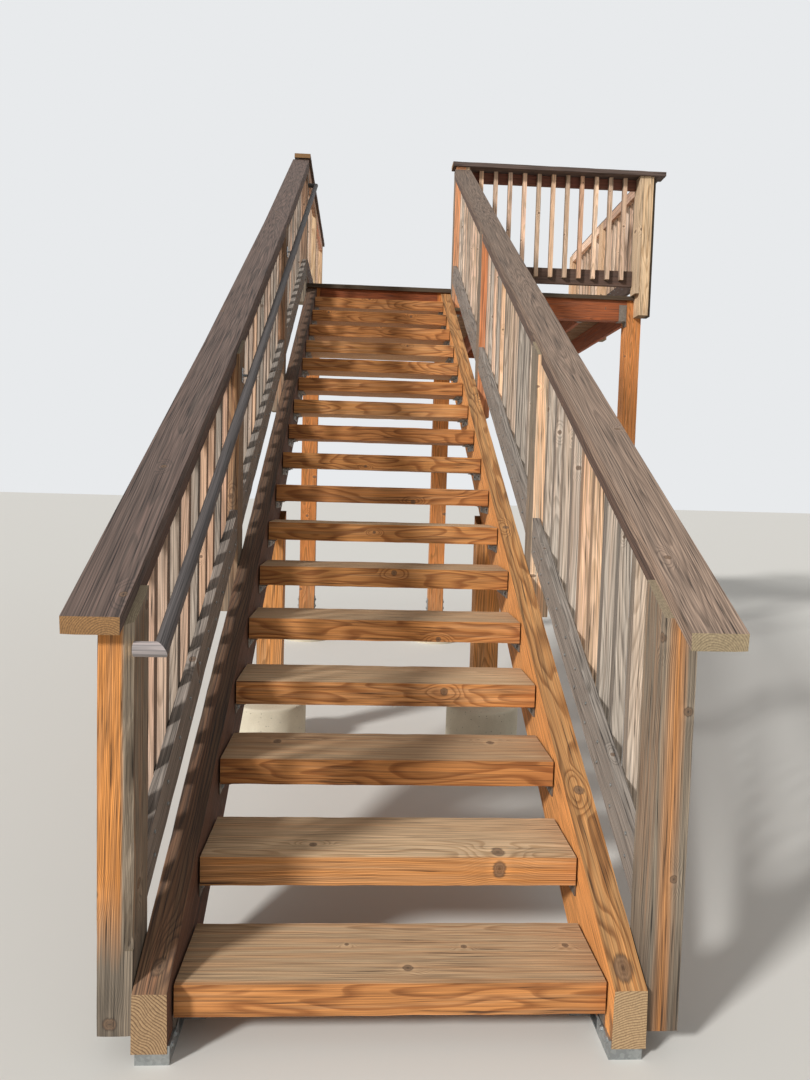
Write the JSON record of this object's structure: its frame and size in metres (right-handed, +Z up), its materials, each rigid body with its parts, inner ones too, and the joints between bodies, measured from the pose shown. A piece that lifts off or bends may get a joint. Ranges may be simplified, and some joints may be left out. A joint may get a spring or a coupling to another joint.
{
  "type": "wooden deck stairs",
  "caption": "Straight flight of solid timber treads between timber stringers, with baluster rails on both sides, rising to a railed timber landing on posts and concrete piers.",
  "frame": {"origin": "centre of the footprint of the whole part, on the ground it stands on", "axes": "+Z up, +Y up the flight towards the wall, +X to the right of a person going up"},
  "size_m": [3.3692, 7.96, 4.307],
  "materials": {
    "stringer_timber": "sawn and pressure treated, weathered on the edges",
    "tread_timber": "sawn, tan grey on top and orange brown on the front edge",
    "galvanised_steel": "hot-dip galvanised",
    "weathered_post": "sawn, weathered grey",
    "cap_timber": "sawn, weathered to a purplish grey brown",
    "subrail_timber": "sawn, brown",
    "grey_rail_timber": "sawn, weathered silver grey",
    "baluster_timber": "sawn, weathered grey beige",
    "grab_rail_timber": "rounded and weathered pale",
    "bracket_steel": "dull grey",
    "support_timber": "sawn and pressure treated",
    "concrete": "cast against a tube form",
    "sheltered_timber": "sawn and sheltered, reddish",
    "guard_timber": "sawn, reddish brown going grey",
    "dark_board": "sawn, dark brown"
  },
  "bodies": {
    "root": {"stringer_left": "stringer_timber", "stringer_right": "stringer_timber", "tread_01": "tread_timber", "tread_02": "tread_timber", "tread_03": "tread_timber", "tread_04": "tread_timber", "tread_05": "tread_timber", "tread_06": "tread_timber", "tread_07": "tread_timber", "tread_08": "tread_timber", "tread_09": "tread_timber", "tread_10": "tread_timber", "tread_11": "tread_timber", "tread_12": "tread_timber", "tread_13": "tread_timber", "tread_14": "tread_timber", "tread_15": "tread_timber", "tread_16": "tread_timber", "tread_17": "tread_timber", "tread_clips": "galvanised_steel", "steel_bases": "galvanised_steel", "stair_posts_left": "weathered_post", "stair_posts_right": "weathered_post", "stair_cap_left": "cap_timber", "stair_cap_right": "cap_timber", "stair_subrails": "subrail_timber", "stair_bottom_rails": "grey_rail_timber", "stair_balusters_left": "baluster_timber", "stair_balusters_right": "baluster_timber", "grab_rail": "grab_rail_timber", "grab_rail_brackets": "bracket_steel", "support_posts": "support_timber", "concrete_piers": "concrete", "deck_boards": "tread_timber", "deck_rim": "sheltered_timber", "deck_joists": "sheltered_timber", "deck_ledger": "sheltered_timber", "joist_hangers": "galvanised_steel", "deck_guard_posts": "guard_timber", "guard_post_boards": "dark_board", "deck_caps": "cap_timber", "deck_subrails": "guard_timber", "deck_bottom_rails": "guard_timber", "deck_balusters_front": "guard_timber", "deck_balusters_sides": "guard_timber"}
  },
  "joints": []
}
